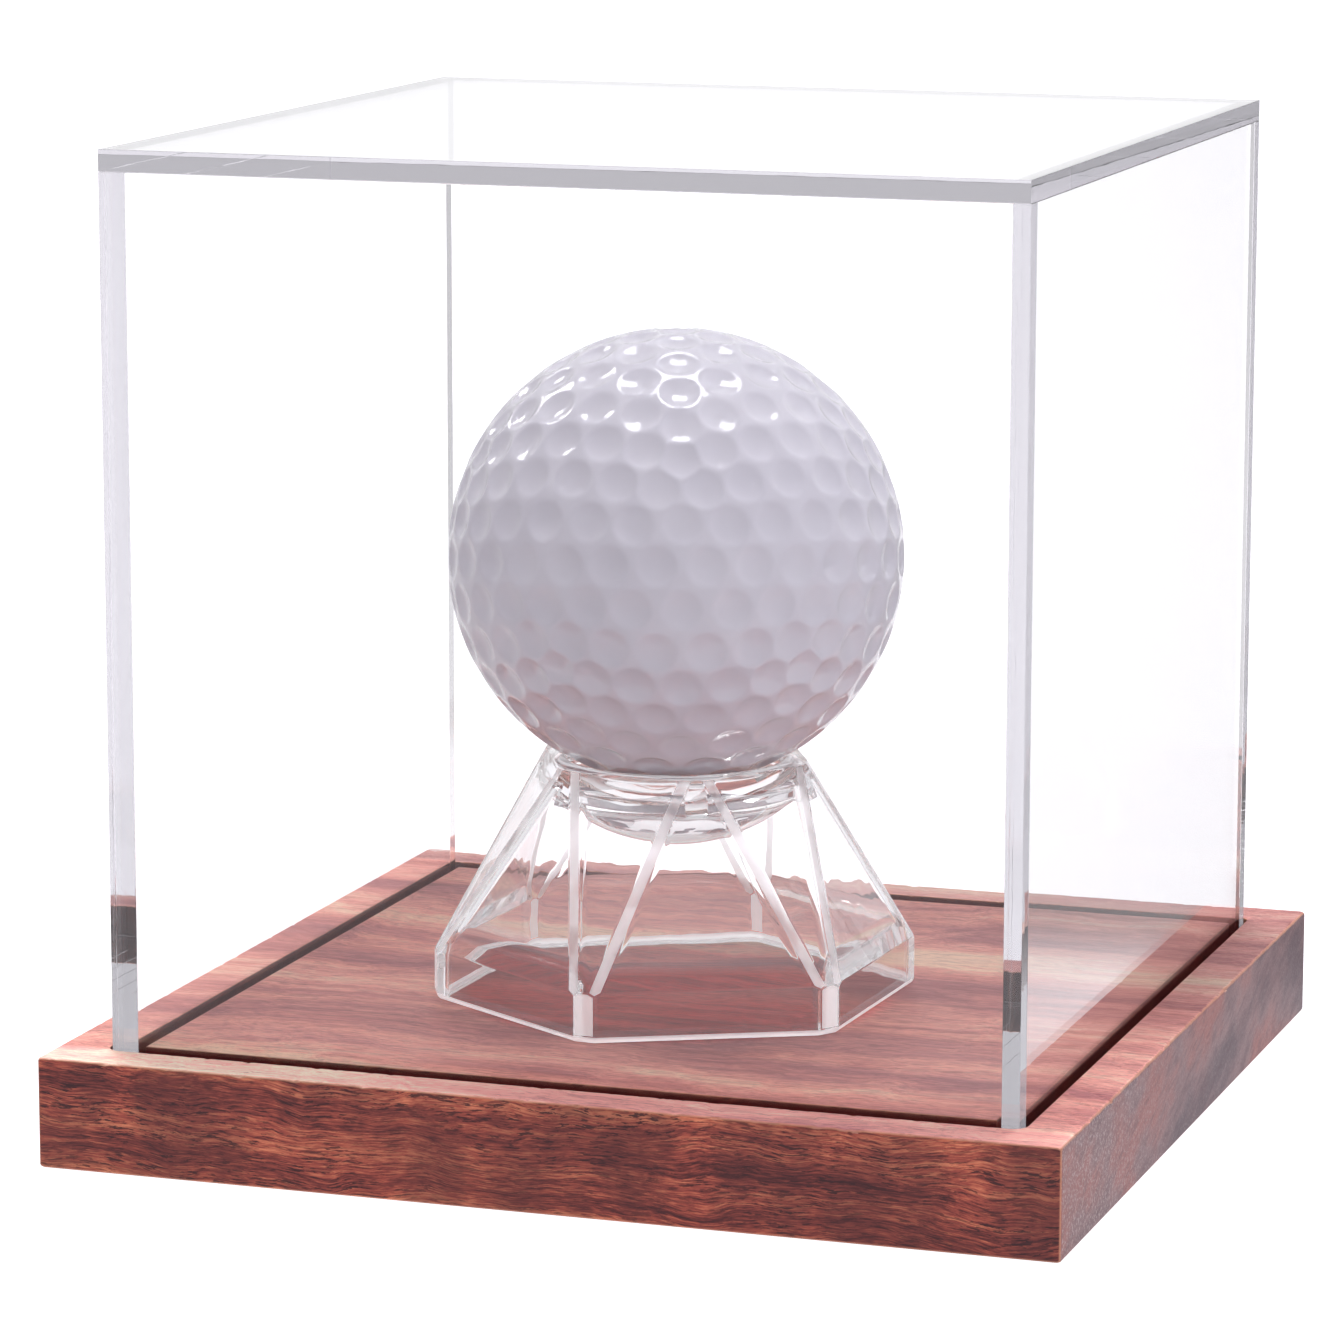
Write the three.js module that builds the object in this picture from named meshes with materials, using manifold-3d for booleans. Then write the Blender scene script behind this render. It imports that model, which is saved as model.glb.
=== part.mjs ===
// A golf ball display case: a routed walnut base, a lift-off cover of bonded clear acrylic panels,
// a moulded six-sided stand and the ball that rests in its cup.
// Millimetres. +Z is up, +X runs along the front, -Y is the front. The origin is the centre of the
// base's underside.

import * as THREE from 'three';
import { ConvexGeometry } from 'three/addons/geometries/ConvexGeometry.js';
import { mergeVertices } from 'three/addons/utils/BufferGeometryUtils.js';
import Module from 'manifold-3d';

const wasm = await Module();
wasm.setup();

// ---- Driving dimensions ----

const base = { side: 95.25, thickness: 10.25, edgeRound: 0.375, cornerRound: 0.5 };
const cover = { side: 85, top: 91.75, wall: 2 };
const groove = { depth: 3, clearance: 0.5 };
const stand = {
  x: -1.5,             // centre of the stand on the base
  y: -3.75,
  turn: -93,           // degrees: the direction that the first corner of the foot points in
  height: 22.75,
  footRadius: 23.35,   // to the sharp corners of the foot, before they are flattened
  footCorner: 2.1,     // width of the flat on each foot corner
  skirt: 4.75,         // height of the upright skirt round the foot
  headRadius: 13.5,    // to the sharp corners of the head
  headCorner: 2.2,     // width of the flat on each head corner
  rib: 1.2,            // width of the bevel between two neighbouring facets
  wall: 1.25,
  plate: 1.75,         // thickness of the head around the cup
};
const cup = { radius: 10.4, wall: 1.2, depth: 7.25, collar: 2, floor: 1.2 };
const gusset = { width: 2.1, height: 1.9 };
const ball = { diameter: 42.67, seatGap: 0.15 };
const roundSegments = 48;

// ---- Solids: boolean cuts and joins ----

function toSolid(geometry) {
  const bare = geometry.clone();
  bare.deleteAttribute('normal');
  bare.deleteAttribute('uv');
  const merged = mergeVertices(bare, 1e-4);
  const triangles = merged.index.array;
  const mesh = new wasm.Mesh({
    numProp: 3,
    vertProperties: new Float32Array(merged.attributes.position.array),
    triVerts: new Uint32Array(triangles),
  });
  return new wasm.Manifold(mesh);
}

function toGeometry(solid) {
  const mesh = solid.getMesh();
  const geometry = new THREE.BufferGeometry();
  geometry.setAttribute('position', new THREE.BufferAttribute(mesh.vertProperties, 3));
  geometry.setIndex(new THREE.BufferAttribute(mesh.triVerts, 1));
  geometry.computeVertexNormals();
  return geometry;
}

// ---- Shapes ----

function roundedSquare(side, radius) {
  const inner = side / 2 - radius;
  const path = new THREE.Shape();
  const centres = [[inner, inner], [-inner, inner], [-inner, -inner], [inner, -inner]];
  centres.forEach(([x, y], quarter) => {
    path.absarc(x, y, radius, quarter * Math.PI / 2, (quarter + 1) * Math.PI / 2);
  });
  path.closePath();
  return path;
}

function squarePath(side) {
  const half = side / 2;
  const corners = [[half, half], [-half, half], [-half, -half], [half, -half]];
  return new THREE.Path(corners.map(([x, y]) => new THREE.Vector2(x, y)));
}

// A plane that leans: it faces the compass direction `azimuth`, and stands `low` from the axis at
// the height zLow and `high` from it at the height zHigh. The solid is on the axis's side of it.
function leaningPlane(azimuth, low, zLow, high, zHigh) {
  const outward = new THREE.Vector3(Math.cos(azimuth), Math.sin(azimuth), 0);
  const slope = (low - high) / (zHigh - zLow);
  const normal = outward.clone().setZ(slope).normalize();
  const onPlane = outward.clone().multiplyScalar(low).setZ(zLow);
  return new THREE.Plane(normal, -normal.dot(onPlane));
}

function levelPlane(z, up) {
  return new THREE.Plane(new THREE.Vector3(0, 0, up), -up * z);
}

// The same planes, moved into the solid by a distance.
function shrink(planes, distance) {
  return planes.map((plane) => new THREE.Plane(plane.normal, plane.constant + distance));
}

// The convex solid behind a set of planes: its corners are the points where three planes meet and
// no other plane cuts them off.
function solidBehind(planes) {
  const corners = [];
  const point = new THREE.Vector3();
  const system = new THREE.Matrix3();
  for (let i = 0; i < planes.length; i += 1) {
    for (let j = i + 1; j < planes.length; j += 1) {
      for (let k = j + 1; k < planes.length; k += 1) {
        const three = [planes[i], planes[j], planes[k]];
        system.set(...three.flatMap((plane) => plane.normal.toArray()));
        if (Math.abs(system.determinant()) < 1e-6) continue;
        point.set(...three.map((plane) => -plane.constant)).applyMatrix3(system.invert());
        const kept = planes.every((plane) => plane.distanceToPoint(point) < 1e-6);
        const known = corners.some((corner) => corner.distanceTo(point) < 1e-4);
        if (kept && !known) corners.push(point.clone());
      }
    }
  }
  return toSolid(new ConvexGeometry(corners));
}

// ---- Walnut base ----

function baseBlock() {
  const block = new THREE.ExtrudeGeometry(roundedSquare(base.side, base.cornerRound), {
    depth: base.thickness - 2 * base.edgeRound,
    bevelThickness: base.edgeRound,
    bevelSize: base.edgeRound,
    bevelOffset: -base.edgeRound,
    bevelSegments: 2,
    curveSegments: 3,
  }).translate(0, 0, base.edgeRound);

  const grooveWidth = cover.wall + 2 * groove.clearance;
  const outerSide = cover.side + 2 * groove.clearance;
  const ring = roundedSquare(outerSide, grooveWidth / 2);
  ring.holes.push(squarePath(outerSide - 2 * grooveWidth));
  const cut = new THREE.ExtrudeGeometry(ring, {
    depth: 2 * groove.depth,
    bevelEnabled: false,
    curveSegments: 4,
  }).translate(0, 0, base.thickness - groove.depth);
  return toGeometry(toSolid(block).subtract(toSolid(cut)));
}

// ---- Acrylic cover ----

const coverBottom = base.thickness - groove.depth;
const wallHeight = cover.top - cover.wall - coverBottom;
const wallMiddle = coverBottom + wallHeight / 2;
const wallOffset = (cover.side - cover.wall) / 2;
const sideLength = cover.side - 2 * cover.wall;

const frontPanel = () => new THREE.BoxGeometry(cover.side, cover.wall, wallHeight);
const sidePanel = () => new THREE.BoxGeometry(cover.wall, sideLength, wallHeight);
const topPanel = () => new THREE.BoxGeometry(cover.side, cover.side, cover.wall);

// ---- Ball stand ----

const sixth = Math.PI / 3;
const standTurn = THREE.MathUtils.degToRad(stand.turn);
const footDirections = Array.from({ length: 6 }, (_, i) => standTurn + i * sixth);
const headDirections = footDirections.map((direction) => direction + sixth / 2);

// How far a flat of this width cuts back the sharp corner of a hexagon.
const cornerCut = (width) => width / 2 * Math.tan(sixth / 2);
const acrossFlats = (cornerRadius) => cornerRadius * Math.cos(sixth / 2);

function facetPlanes() {
  const footFlat = stand.footRadius - cornerCut(stand.footCorner);
  const headFlat = stand.headRadius - cornerCut(stand.headCorner);
  const footSide = acrossFlats(stand.footRadius);
  const headSide = acrossFlats(stand.headRadius);
  const falling = footDirections.map((a) => leaningPlane(a, footFlat, stand.skirt, headSide, stand.height));
  const rising = headDirections.map((a) => leaningPlane(a, footSide, stand.skirt, headFlat, stand.height));
  const skirtCorners = footDirections.map((a) => leaningPlane(a, footFlat, 0, footFlat, stand.skirt));
  const skirtSides = headDirections.map((a) => leaningPlane(a, footSide, 0, footSide, stand.skirt));
  return { falling, rising, skirt: [...skirtCorners, ...skirtSides] };
}

// A bevel plane between two facets, cutting back their shared edge to a strip of this width.
function bevelPlane(facetA, facetB, width) {
  const normal = facetA.normal.clone().add(facetB.normal).normalize();
  const halfTurn = facetA.normal.angleTo(facetB.normal) / 2;
  const edgeDistance = -(facetA.constant + facetB.constant) / (2 * Math.cos(halfTurn));
  const cut = width / 2 * Math.tan(halfTurn);
  return new THREE.Plane(normal, -(edgeDistance - cut));
}

function ribPlanes(falling, rising) {
  return falling.flatMap((facet, i) => [rising[i], rising[(i + 5) % 6]].map(
    (neighbour) => bevelPlane(facet, neighbour, stand.rib),
  ));
}

// The cup is turned: a straight collar below the rim, then a bowl of a constant wall.
function turned(profile) {
  const points = profile.map(([radius, z]) => new THREE.Vector2(radius, z));
  return toSolid(new THREE.LatheGeometry(points, roundSegments).rotateX(Math.PI / 2));
}

// Points of a bowl that drops from the radius `edge` at the height zEdge to zBottom on the axis.
function bowl(edge, zEdge, zBottom) {
  const drop = zEdge - zBottom;
  const sphere = (edge * edge + drop * drop) / (2 * drop);
  const steps = 8;
  return Array.from({ length: steps + 1 }, (_, i) => {
    const angle = Math.asin(edge / sphere) * i / steps;
    const radius = i === 0 ? 0 : sphere * Math.sin(angle);
    return [radius, zBottom + sphere * (1 - Math.cos(angle))];
  });
}

function ballStand() {
  const { falling, rising, skirt } = facetPlanes();
  const outside = [...falling, ...rising, ...skirt];
  const body = solidBehind([
    ...outside,
    ...ribPlanes(falling, rising),
    levelPlane(0, -1),
    levelPlane(stand.height, 1),
  ]);
  const hollow = solidBehind([
    ...shrink(outside, stand.wall),
    levelPlane(-stand.wall, -1),
    levelPlane(stand.height - stand.plate, 1),
  ]);

  const cupOuter = cup.radius + cup.wall;
  const collarBottom = stand.height - stand.plate - cup.collar;
  const bowlBottom = stand.height - cup.depth - cup.floor;
  const cupBody = turned([
    ...bowl(cupOuter, collarBottom, bowlBottom),
    [cupOuter, stand.height - stand.plate / 2],
    [0, stand.height - stand.plate / 2],
  ]);
  const cupSpace = turned([
    ...bowl(cup.radius, collarBottom, bowlBottom + cup.floor),
    [cup.radius, stand.height + 1],
    [0, stand.height + 1],
  ]);

  const gussetLength = stand.headRadius - cup.radius - cup.wall / 2;
  const gussets = headDirections.map((direction) => toSolid(
    new THREE.BoxGeometry(gussetLength, gusset.width, gusset.height + stand.plate / 2)
      .translate(stand.headRadius - gussetLength / 2, 0, 0)
      .rotateZ(direction)
      .translate(0, 0, stand.height - stand.plate - gusset.height / 2 + stand.plate / 4),
  ));

  let solid = body.subtract(hollow).add(cupBody);
  gussets.forEach((piece) => { solid = solid.add(piece.intersect(body)); });
  return toGeometry(solid.subtract(cupSpace));
}

// ---- Golf ball ----

// The ball sits on the rim of the cup, so its centre is above the rim.
const ballRadius = ball.diameter / 2;
const ballLift = Math.sqrt(ballRadius ** 2 - cup.radius ** 2) + ball.seatGap;
const golfBall = () => new THREE.IcosahedronGeometry(ballRadius, 8);

// ---- Assembly ----

const walnut = { color: 0x8a6355, roughness: 0.6, metalness: 0 };
const acrylic = { color: 0xeceaf2, roughness: 0.05, metalness: 0, transparent: true, opacity: 0.25 };
const styrene = { color: 0xf1eff2, roughness: 0.08, metalness: 0, transparent: true, opacity: 0.35 };
const whiteCoat = { color: 0xecebf0, roughness: 0.22, metalness: 0 };

function piece(name, geometry, finish, x = 0, y = 0, z = 0) {
  const mesh = new THREE.Mesh(geometry, new THREE.MeshStandardMaterial(finish));
  mesh.name = name;
  mesh.position.set(x, y, z);
  return mesh;
}

const displayCase = new THREE.Group();
displayCase.add(piece('base_block', baseBlock(), walnut));

const lidGroup = new THREE.Group();
lidGroup.add(piece('cover_front_panel', frontPanel(), acrylic, 0, -wallOffset, wallMiddle));
lidGroup.add(piece('cover_back_panel', frontPanel(), acrylic, 0, wallOffset, wallMiddle));
lidGroup.add(piece('cover_left_panel', sidePanel(), acrylic, -wallOffset, 0, wallMiddle));
lidGroup.add(piece('cover_right_panel', sidePanel(), acrylic, wallOffset, 0, wallMiddle));
lidGroup.add(piece('cover_top_panel', topPanel(), acrylic, 0, 0, cover.top - cover.wall / 2));
displayCase.add(lidGroup);

const standGroup = new THREE.Group();
standGroup.position.set(stand.x, stand.y, base.thickness);
standGroup.add(piece('ball_stand', ballStand(), styrene));
standGroup.add(piece('golf_ball', golfBall(), whiteCoat, 0, 0, stand.height + ballLift));
displayCase.add(standGroup);

export default displayCase;
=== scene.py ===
"""A golf ball display case: walnut base, acrylic cover, moulded stand and dimpled ball."""

import math

import bmesh
import bpy
import mathutils
import numpy as np
from mathutils import Matrix, Vector


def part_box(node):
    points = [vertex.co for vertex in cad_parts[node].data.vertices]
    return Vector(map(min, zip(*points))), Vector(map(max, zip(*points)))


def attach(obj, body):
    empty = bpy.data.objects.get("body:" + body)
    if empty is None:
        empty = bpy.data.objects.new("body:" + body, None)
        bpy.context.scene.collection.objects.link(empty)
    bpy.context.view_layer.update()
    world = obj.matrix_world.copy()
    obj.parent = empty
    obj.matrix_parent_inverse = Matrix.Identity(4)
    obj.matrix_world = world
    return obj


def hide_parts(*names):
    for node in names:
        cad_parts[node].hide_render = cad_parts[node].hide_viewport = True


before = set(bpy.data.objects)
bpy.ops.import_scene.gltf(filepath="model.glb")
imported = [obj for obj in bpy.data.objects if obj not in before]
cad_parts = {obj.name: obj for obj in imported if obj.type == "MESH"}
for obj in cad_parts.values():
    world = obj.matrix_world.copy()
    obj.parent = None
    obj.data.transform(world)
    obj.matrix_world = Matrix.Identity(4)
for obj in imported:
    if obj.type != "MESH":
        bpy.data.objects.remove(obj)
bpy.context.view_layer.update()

# ---------------------------------------------------------------- driving dimensions

MM = 0.001

GROOVE_DEPTH = 3.0 * MM
GROOVE_CLEARANCE = 0.5 * MM
BASE_EDGE = 0.35 * MM        # rounding of the outer edges of the base
BASE_CORNER = 0.3 * MM       # rounding of its upright corners
GROOVE_LIP = 0.15 * MM       # rounding of the edges of the groove
ISLAND_CORNER = 0.05 * MM    # rounding of the upright corners inside it
CHIP_DEPTH = 0.18 * MM
CHIP_SIZE = 0.9 * MM
CHIP_THRESHOLD = 0.25        # the lower part of the noise that leaves the edge whole

SEAM_GAP = 0.02 * MM         # between two cover panels
PANEL_EDGE = 0.04 * MM

STAND_TURN = -93.0           # degrees: where the first corner of the foot points
FOOT_RADIUS = 23.35 * MM     # to the sharp corners, before they are flattened
FOOT_CORNER = 2.1 * MM       # width of the flat on each foot corner
SKIRT = 4.75 * MM            # height of the upright skirt round the foot
HEAD_RADIUS = 13.5 * MM
HEAD_CORNER = 2.2 * MM
RIB = 1.2 * MM               # width of the flat between two neighbouring facets
STAND_WALL = 1.25 * MM
SKIRT_WALL = 2.0 * MM
PLATE = 1.75 * MM            # thickness of the head round the cup
HOLLOW_EASE = 0.8 * MM       # rounding inside the stand
FOOT_EASE = 0.65 * MM        # rounding under the foot
FACET_EASE = 0.12 * MM       # rounding of the facets' edges
CUP_RADIUS = 10.4 * MM
CUP_WALL = 1.2 * MM
CUP_DEPTH = 7.25 * MM        # from the top to the inside of the CAD's cup
CUP_LIP = 0.2 * MM
BOWL_DEPTH = 3.6 * MM        # depth of the upper surface that the ball rests over
COLLAR = 2.0 * MM            # height of the upright collar under the head
BEAD = 0.9 * MM              # radius of the rounded foot of the collar
BEAD_IN = 0.5 * MM           # its middle, inside the collar's face
BEAD_OUT = 0.4 * MM          # how far it stands proud
GUSSET_WIDTH = 2.1 * MM
GUSSET_HEIGHT = 1.9 * MM
REST_GAP = 0.03 * MM         # between the stand and the base
BOWL_STEPS = 24
CUP_SEGMENTS = 144

DIMPLE_ROWS = 6              # steps along each side of the icosahedron: 362 dimples
DIMPLE_RADIUS = 1.9 * MM
DIMPLE_DEPTH = 0.46 * MM
DIMPLE_EASE = 0.01 * MM
BALL_GRID = 90               # steps along each side of the icosahedron for the mesh
MEMORY_PARTS = 20            # the dimples are measured from the mesh in this many parts
BALL_SPIN = 20.0             # degrees about the upright axis
BALL_TILT = 25.0             # degrees about the side axis

# ---------------------------------------------------------------- camera and lamps

AIM = Vector((-3.59, 0.0, 40.05)) * MM
VIEW_AZIMUTH = 18.646        # degrees to the right of the front
VIEW_ELEVATION = 10.46
VIEW_DISTANCE = 0.5395
VIEW_ROLL = 0.073
SENSOR_MM = 36.0
LENS_MM = 153.5
LAMP_TARGET = Vector((0, 0, 0.045))


def look_at(spot, target, roll=0.0):
    """The place and turn that point a camera or a lamp at a target."""
    turn = (Vector(target) - Vector(spot)).to_track_quat("-Z", "Y").to_matrix().to_4x4()
    return Matrix.Translation(spot) @ turn @ Matrix.Rotation(roll, 4, "Z")


def direction(azimuth, elevation):
    """The unit vector from the object to a viewer, in degrees: azimuth 0 is in front, at -Y."""
    a, e = math.radians(azimuth), math.radians(elevation)
    return Vector((math.sin(a) * math.cos(e), -math.cos(a) * math.cos(e), math.sin(e)))


def make_camera():
    data = bpy.data.cameras.new("camera")
    data.sensor_width = SENSOR_MM
    data.lens = LENS_MM
    data.clip_start = 0.01
    spot = AIM + direction(VIEW_AZIMUTH, VIEW_ELEVATION) * VIEW_DISTANCE
    camera = bpy.data.objects.new("camera", data)
    camera.matrix_world = look_at(spot, AIM, math.radians(VIEW_ROLL))
    bpy.context.scene.collection.objects.link(camera)
    bpy.context.scene.camera = camera


def area_light(name, azimuth, elevation, distance, size, watts):
    data = bpy.data.lights.new(name, "AREA")
    data.shape = "RECTANGLE"
    data.size, data.size_y = size
    data.energy = watts
    lamp = bpy.data.objects.new(name, data)
    spot = LAMP_TARGET + direction(azimuth, elevation) * distance
    lamp.matrix_world = look_at(spot, LAMP_TARGET)
    bpy.context.scene.collection.objects.link(lamp)


# ---------------------------------------------------------------- shader nodes

def feed(tree, made, inputs):
    """Fills a node's inputs. Each is a number, a colour, or a socket to link."""
    for key, value in inputs.items():
        socket = made.inputs[key]
        if isinstance(value, bpy.types.NodeSocket):
            tree.links.new(value, socket)
        else:
            socket.default_value = value


def node(tree, kind, inputs=None, **settings):
    made = tree.nodes.new("ShaderNode" + kind)
    for name, value in settings.items():
        setattr(made, name, value)
    feed(tree, made, inputs or {})
    return made


def new_material(name):
    material = bpy.data.materials.new(name)
    material.use_nodes = True
    tree = material.node_tree
    tree.nodes.clear()
    shader = node(tree, "BsdfPrincipled")
    node(tree, "OutputMaterial", {"Surface": shader.outputs[0]})
    return material, tree, shader


def srgb(red, green, blue):
    """A linear colour from 0-255 display values."""
    def linear(value):
        value /= 255.0
        return value / 12.92 if value <= 0.04045 else ((value + 0.055) / 1.055) ** 2.4
    return (linear(red), linear(green), linear(blue), 1.0)


def stretch(tree, vector, scale, rotation=(0, 0, 0), location=(0, 0, 0)):
    return node(tree, "Mapping", {"Vector": vector, "Scale": scale, "Rotation": rotation,
                                  "Location": location}).outputs[0]


def place_of(tree):
    """The surface point, in millimetres of the object."""
    return stretch(tree, node(tree, "TexCoord").outputs["Object"], (1000, 1000, 1000))


def split(tree, vector):
    """The X, Y and Z of a vector."""
    return list(node(tree, "SeparateXYZ", {0: vector}).outputs)


def noise(tree, vector, detail, roughness=0.5, output="Fac"):
    made = node(tree, "TexNoise", {"Vector": vector, "Scale": 1.0, "Detail": detail,
                                   "Roughness": roughness})
    return made.outputs[output]


def maths(tree, operation, first, second=0.0):
    return node(tree, "Math", {0: first, 1: second}, operation=operation).outputs[0]


def largest(tree, first, *others):
    for value in others:
        first = maths(tree, "MAXIMUM", first, value)
    return first


def absolute(tree, value):
    return maths(tree, "ABSOLUTE", value)


def weighted_sum(tree, *parts):
    """The sum of values, each given with its weight."""
    shares = [maths(tree, "MULTIPLY", value, weight) for value, weight in parts]
    total = shares[0]
    for share in shares[1:]:
        total = maths(tree, "ADD", total, share)
    return total


def vectors(tree, operation, first, second=(0, 0, 0), output=0):
    made = node(tree, "VectorMath", {0: first, 1: second}, operation=operation)
    return made.outputs[output]


def remap(tree, value, low, high, out_low=0.0, out_high=1.0):
    """A smooth step from out_low, where the value is low, to out_high."""
    return node(tree, "MapRange", {"Value": value, "From Min": low, "From Max": high,
                                   "To Min": out_low, "To Max": out_high},
                interpolation_type="SMOOTHSTEP").outputs[0]


def blend(tree, factor, first, second, mode="MIX"):
    """A mix of two colours. The mode MULTIPLY gives first times second at factor 1."""
    return node(tree, "Mix", {0: factor, 6: first, 7: second}, data_type="RGBA",
                blend_type=mode, clamp_factor=True).outputs[2]


def blend_values(tree, factor, first, second):
    return node(tree, "Mix", {0: factor, 2: first, 3: second}, data_type="FLOAT").outputs[0]


def stain(tree, colour, pigment, mask, strength):
    """A colour with a pigment laid over it where a mask says."""
    return blend(tree, maths(tree, "MULTIPLY", mask, strength), colour, pigment)


def ramp(tree, value, stops):
    made = node(tree, "ValToRGB", {0: value})
    elements = made.color_ramp.elements
    while len(elements) < len(stops):
        elements.new(0.5)
    for element, (position, colour) in zip(elements, stops):
        element.position = position
        element.color = colour
    return made.outputs[0]


def bump(tree, height, strength, distance):
    return node(tree, "Bump", {"Height": height, "Strength": strength,
                               "Distance": distance}).outputs[0]


# ---------------------------------------------------------------- plastic

STREAK = (0.35, 0.65)        # where the streaks on a rib start and end
RIB_CLARITY = (0.85, 0.45)   # transmission along a rib, from clear to frosted
FOOT_CLARITY = 0.45
# The flats' glow is a painted glow: light given off by flats that are no lamp.
RIB_PAINTED_GLOW = (0.1, 0.8)       # share of the foot's glow along a rib
PAINTED_GLOW_STRENGTH = 0.3


def frosted_plastic_with_painted_glow():
    """The matt flats along the corners of the moulding, whiter on the foot than on the ribs: less
    clear there, and with a stronger painted glow.
    """
    material, tree, shader = new_material("moulded_frost_and_painted_glow")
    place = place_of(tree)
    grit = noise(tree, stretch(tree, place, (0.5, 0.5, 0.5)), 3)
    streak = noise(tree, stretch(tree, place, (0.5, 0.5, 0.18), location=(2, 4, 6)), 3, 0.6)
    low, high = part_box("ball_stand")
    foot_top = (low.z + SKIRT) / MM
    foot = remap(tree, split(tree, place)[2], foot_top + 0.5, foot_top - 0.5)
    # Where the flats get a painted glow: fully on the foot, in streaks along the ribs.
    white = largest(tree, foot, remap(tree, streak, *STREAK, *RIB_PAINTED_GLOW))
    clear = maths(tree, "MULTIPLY", maths(tree, "SUBTRACT", 1.0, foot),
                  remap(tree, streak, *STREAK, *RIB_CLARITY))
    feed(tree, shader, {
        "Base Color": ramp(tree, grit, [(0.3, (0.97, 0.94, 0.96, 1)), (0.7, (1.0, 0.99, 1.0, 1))]),
        "Roughness": remap(tree, grit, 0.3, 0.7, 0.3, 0.5),
        "Normal": bump(tree, grit, 0.3, 0.03 * MM),
        # Painted glow: the flats give off light of their own, though they are no lamp.
        "Emission Color": (1.0, 0.95, 0.97, 1),
        "Emission Strength": maths(tree, "MULTIPLY", white, PAINTED_GLOW_STRENGTH),
        "Transmission Weight": largest(tree, clear, FOOT_CLARITY),
        "IOR": 1.5,
    })
    return material


def clear_plastic(name, ior, ripple, tint=None, density=0.0):
    """Clear plastic whose surface ripples by `ripple` mm, and that takes up light by a density."""
    material, tree, shader = new_material(name)
    swell = noise(tree, stretch(tree, place_of(tree), (0.16, 0.16, 0.16)), 2, 0.4)
    feed(tree, shader, {
        "Base Color": (1, 1, 1, 1),
        "Roughness": 0.0,
        "IOR": ior,
        "Transmission Weight": 1.0,
        "Normal": bump(tree, swell, 1.0, ripple * MM),
    })
    if density:
        absorb = node(tree, "VolumeAbsorption", {"Color": tint, "Density": density})
        tree.links.new(absorb.outputs[0], tree.nodes["Material Output"].inputs["Volume"])
    return material


# ---------------------------------------------------------------- walnut

LAYER_TILT = math.radians(-18)

# How the layers wander: scale per mm, detail, and reach in mm.
WANDER = [((0.018, 0.02, 0.05), 1, (0, 4, 7)),
          ((0.10, 0.04, 0.12), 2, (0, 1.5, 3.2))]

# The noises: what each follows, its scale per mm, its shift, its detail and its roughness.
WOOD_NOISES = {
    "bands": ("grain", (0.009, 0.05, 0.30), (0, 0, 0), 3, 0.6),
    "broad": ("grain", (0.010, 0.07, 0.16), (0, 0, 0), 3, 0.55),
    "lines": ("grain", (0.035, 0.35, 1.7), (0, 0, 0), 4, 0.65),
    "hairs": ("grain", (0.6, 4.0, 7.0), (0, 0, 0), 3, 0.65),
    "pores": ("grain", (0.5, 4.0, 4.5), (7, 3, 1), 3, 0.7),
    "fibres": ("grain", (0.12, 5.0, 8.0), (4, 2, 6), 2, 0.5),
    "streaks": ("grain", (0.02, 0.9, 0.9), (1, 5, 9), 4, 0.7),
    "figure": ("layers", (0.12, 0.02, 0.07), (0, 0, 0), 3, 0.6),
    "knots": ("layers", (0.08, 0.1, 0.3), (3, 8, 5), 2, 0.5),
    "clouds": ("block", (0.05, 0.05, 0.07), (0, 0, 0), 3, 0.5),
    "specks": ("block", (2.6, 2.8, 3.0), (0, 0, 0), 3, 0.7),
}

# Where a noise starts and ends to count, and what it then goes from and to (0 to 1 if not given).
PORES = (0.53, 0.59)
KNOTS = (0.4, 0.6, 0.6, 1.0)
FIBRES = (0.55, 0.63)
FIGURE = (0.36, 0.62, 0.55, 0.0)
STREAKS = (0.46, 0.34, 0.0, 0.3)
SPECKS = (0.50, 0.62)
END_LINES = (0.5, 0.35)
GLOSS = (0.35, 0.65, 0.60, 0.46)

SIDE_TONES = [(0.40, srgb(78, 32, 33)), (0.46, srgb(136, 60, 52)),
              (0.51, srgb(172, 83, 65)), (0.58, srgb(214, 128, 94))]
# The top's tones are lighter than the sides': painted light and painted sheen.
TOP_TONES_PAINTED_LIGHT = [(0.40, srgb(176, 104, 106)), (0.47, srgb(216, 136, 127)),
             (0.53, srgb(244, 164, 149)), (0.60, srgb(252, 210, 182))]
# End grain is greyer than the sides: partly its own colour, partly painted sheen from the grazing
# view.
END_TONES = [(0.42, srgb(88, 68, 74)), (0.48, srgb(108, 82, 85)),
             (0.53, srgb(122, 92, 93)), (0.60, srgb(138, 86, 82))]
WORN_AND_HIGHLIGHT_TONE = srgb(214, 150, 116)

# Places on the base, in mm, and the tints that the colour is multiplied by there: painted shade under
# the stand, painted light on the front margin and painted shade on the back one.
STAND_SHADE_REACH = (22.0, 18.0)           # from the middle of the stand outward
STAND_SHADE_DEPTH = (6.0, -6.0)            # from behind its middle to in front of it
STAND_SHADE_BACK = (1.1, 0.70, 0.70, 1)
STAND_SHADE_FRONT = (0.98, 0.20, 0.22, 1)
MARGIN = (42.0, 43.5)                # across the outer edge of the groove
FRONT_RIGHT = (10.0, -20.0, 0.0, 0.5)
BACK_RIGHT = (-25.0, 20.0, 0.0, 1.0)
FRONT_PAINTED_LIGHT = (1.3, 1.5, 1.6, 1)
BACK_PAINTED_SHADE = (0.57, 0.59, 0.64, 1)
END_SPECKS = (0.0, -40.0, 0.15, 0.6)


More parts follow.
